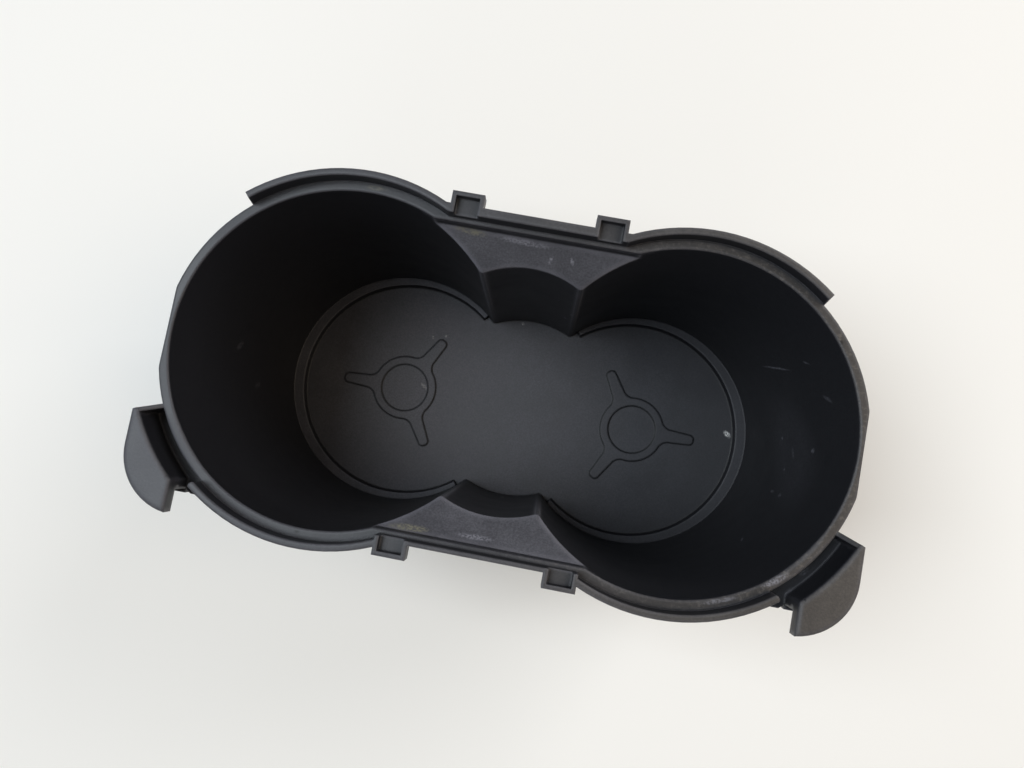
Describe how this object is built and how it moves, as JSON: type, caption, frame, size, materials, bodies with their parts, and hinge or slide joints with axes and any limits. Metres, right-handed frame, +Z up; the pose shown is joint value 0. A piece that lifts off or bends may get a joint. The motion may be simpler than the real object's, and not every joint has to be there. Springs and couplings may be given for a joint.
{
  "type": "car cup holder",
  "caption": "Double cup holder insert for a car console: two drafted cups joined at a waist, with a stepped rim, clip pockets and side ears, moulded in one piece.",
  "frame": {"origin": "centre of the underside, where the holder stands: halfway between the two cup axes", "axes": "+X runs along the holder from the left cup to the right cup, +Y points to the back, the side without ears, and +Z is up out of the cups"},
  "size_m": [0.1668, 0.088, 0.0962],
  "materials": {
    "black_plastic": "satin moulded black, dusty and lightly scuffed on the upward faces"
  },
  "bodies": {
    "root": {"holder": "black_plastic"}
  },
  "joints": []
}
